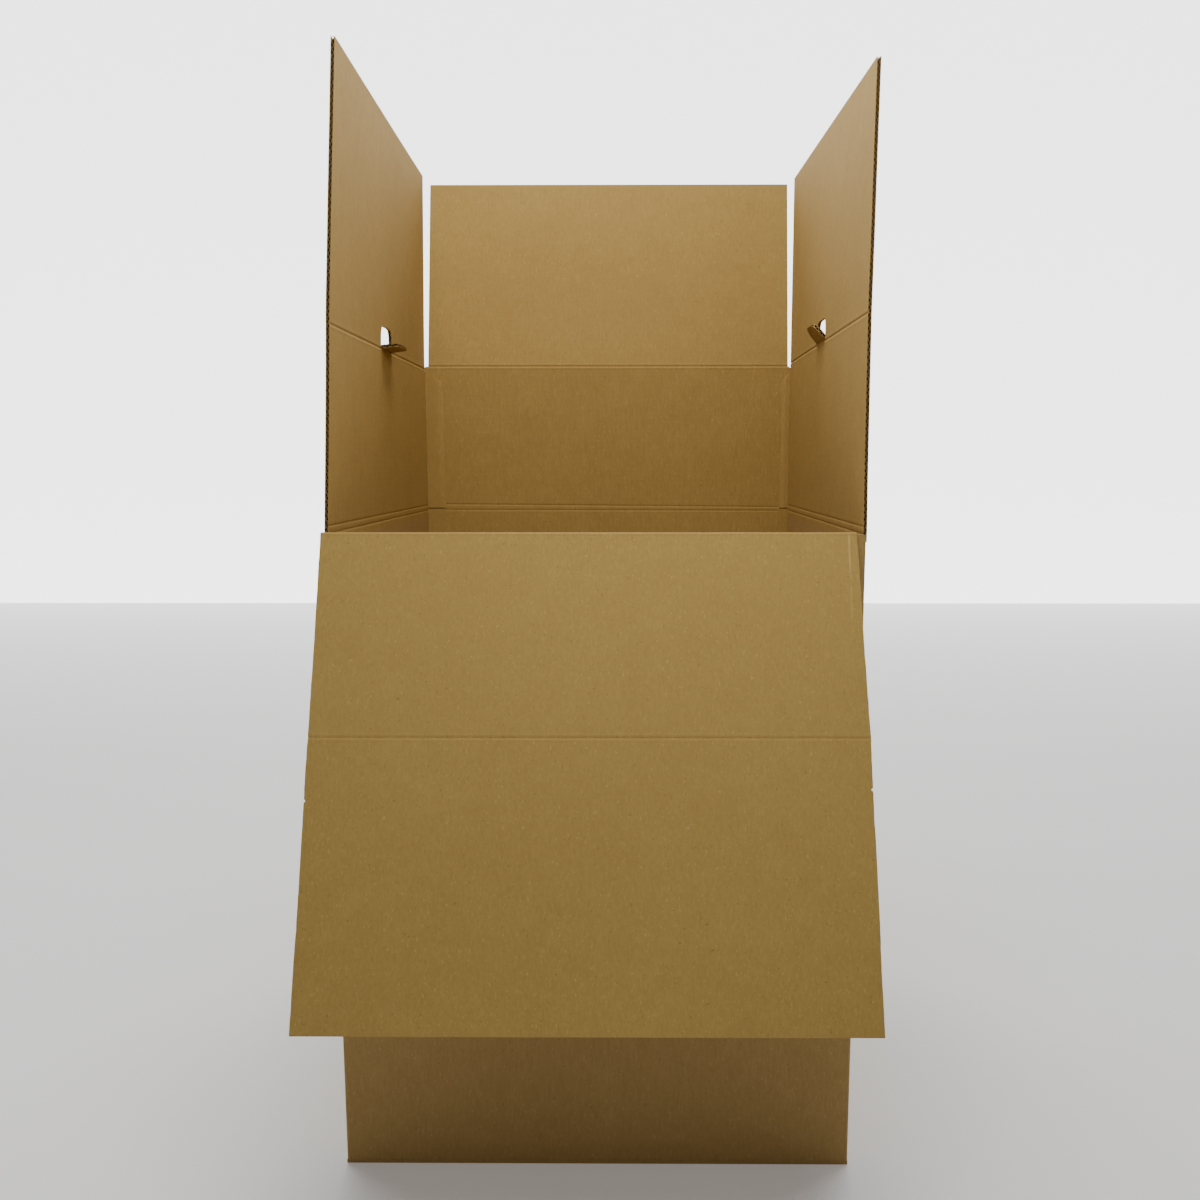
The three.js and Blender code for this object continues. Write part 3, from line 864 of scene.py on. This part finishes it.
def panel_right(t):
    return strip_right(t) + WIDENING * np.clip(t - FOLD_HALF, 0, PANEL_LENGTH) / PANEL_LENGTH


def front_fold_left(t):
    return panel_left(PANEL_LENGTH + t)


def front_fold_right(t):
    return panel_right(PANEL_LENGTH + t)


def flap_right(t):
    return nicked_right(t) + FLAP_WIDENING * t / FRONT_LENGTH


strip = Piece()
strip.slab(
    hung(STRIP_ORIGIN, constant(FOLD_ANGLE)),
    np.array([FOLD_HALF - FOLD_LAP, 4.0, SCORE_SPACING - FOLD_HALF + FOLD_LAP]), even(24),
    panel_left, strip_right, constant(2.4), constant(BOARD - 0.1), INNER_FACE,
)
strip_object = strip.make("front_strip_board", FRONTS)
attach(strip_object, "front_strip")
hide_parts("front_hinge_strip")


# Thin skin round a sharp fold of the front, turning from one body's angle to the next one's
def fold_skin(name, origin, first_angle):
    def turn(t):
        return first_angle + FOLD_ANGLE * ramp(t, -FOLD_HALF, FOLD_HALF)

    def inner_face(s, t):
        return BOARD - 0.25 * np.exp(-(t / 1.2) ** 2)

    span = FOLD_HALF + FOLD_LAP
    skin = Piece()
    skin.slab(
        hung(origin, turn), np.linspace(-span, span, 15), even(24),
        panel_left, strip_right, constant(2.9), inner_face, INNER_FACE,
    )
    made = skin.make(name, FRONTS)
    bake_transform(made)


fold_skin("front_lower_fold", STRIP_ORIGIN, 0.0)
fold_skin("front_upper_fold", PANEL_ORIGIN, FOLD_ANGLE)

panel = Piece()
panel_rows = rows(FOLD_HALF, PANEL_LENGTH - CREASE_HALF, step=10)
panel.board(panel_place, panel_rows, panel_left, panel_right, columns=26)
panel_object = panel.make("front_panel_board", FRONTS)
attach(panel_object, "front_panel")
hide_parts("front_drop_panel")

front_flap = Piece()
front_flap.board(
    front_flap_place, rows(CREASE_HALF, FRONT_LENGTH, step=8, marks=(LEFT_NICK, RIGHT_NICK)),
    flap_left, flap_right, columns=26,
)
front_flap_object = front_flap.make("front_flap_board", FRONTS)
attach(front_flap_object, "front_flap")
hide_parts("front_top_flap")


# Point on the axis of the front flap's crease strip, in metres
def front_crease_point(t):
    return straight_panel_place(0.0, PANEL_LENGTH + t, AXIS_INSET) * MM


front_fold = Piece()
front_fold.board(
    front_flap_place, CREASE_ROWS, front_fold_left, front_fold_right, columns=26, groove=crease_groove)
front_fold_object = front_fold.make("front_flap_fold", FRONTS)
tuple(front_crease_point(-CREASE_TURN))
tuple(front_crease_point(CREASE_TURN))
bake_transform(front_fold_object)

# Tape under the bottom, as it stands in the CAD part
tape = frame["nodes"]["bottom_tape"]
tape.data.materials.clear()
tape.data.materials.append(tape_material())


# Floor and backdrop, just below the part
def plane(name, corners, material):
    mesh = bpy.data.meshes.new(name)
    mesh.from_pydata(corners, [], [(0, 1, 2, 3)])
    mesh.materials.append(material)
    made = bpy.data.objects.new(name, mesh)
    bpy.context.scene.collection.objects.link(made)


STAGE_SIDE = 9
STAGE_FRONT = -6
STAGE_BACK = 5
STAGE_TOP = 7
FLOOR_Z = -0.0005
back_line = [(-STAGE_SIDE, STAGE_BACK, FLOOR_Z), (STAGE_SIDE, STAGE_BACK, FLOOR_Z)]
front_line = [(-STAGE_SIDE, STAGE_FRONT, FLOOR_Z), (STAGE_SIDE, STAGE_FRONT, FLOOR_Z)]
top_line = [(-STAGE_SIDE, STAGE_BACK, STAGE_TOP), (STAGE_SIDE, STAGE_BACK, STAGE_TOP)]
plane("floor", front_line + back_line[::-1], stage_material("floor_paint", 0.95, 0.16))
plane("backdrop", back_line + top_line[::-1], stage_material("backdrop_paint", 0.9, 3.0))


# Light
def area(name, at, aim, size, power):
    data = bpy.data.lights.new(name, "AREA")
    data.shape = "RECTANGLE"
    data.size, data.size_y = size
    data.energy = power
    made = bpy.data.objects.new(name, data)
    made.location = at
    made.rotation_mode = "QUATERNION"
    made.rotation_quaternion = (Vector(aim) - Vector(at)).to_track_quat("-Z", "Y")
    bpy.context.scene.collection.objects.link(made)


area("overhead", at=(-0.08, -0.10, 1.90), aim=(-0.04, -0.1, 0.8), size=(0.9, 0.6), power=11.8)
area("front", at=(0.10, -0.86, 1.34), aim=(0.0, -0.35, 0.55), size=(0.7, 0.2), power=4.2)
world = bpy.data.worlds.new("studio")
world.use_nodes = True
world.node_tree.nodes["Background"].inputs[0].default_value = (1.0, 0.99, 0.97, 1)
world.node_tree.nodes["Background"].inputs[1].default_value = 0.11
bpy.context.scene.world = world

# Camera where the photographer stood
PITCH = math.radians(-7.982)
YAW = math.radians(-0.352)
ROLL = math.radians(-0.013)
CAMERA_AT = (0.04724, -1.52612, 0.85857)
forward = Vector((math.sin(YAW) * math.cos(PITCH), math.cos(YAW) * math.cos(PITCH), math.sin(PITCH)))
right = Vector((math.cos(YAW), -math.sin(YAW), 0))
up = right.cross(forward)
turned_right = right * math.cos(ROLL) + up * math.sin(ROLL)
turned_up = up * math.cos(ROLL) - right * math.sin(ROLL)
camera_data = bpy.data.cameras.new("camera")
camera_data.sensor_width = 36
camera_data.lens = 32.18
camera_data.shift_x = -0.02419
camera_data.shift_y = 0.01011
camera = bpy.data.objects.new("camera", camera_data)
axes = Matrix((turned_right, turned_up, -forward)).transposed().to_4x4()
camera.matrix_world = Matrix.Translation(CAMERA_AT) @ axes
bpy.context.scene.collection.objects.link(camera)
bpy.context.scene.camera = camera
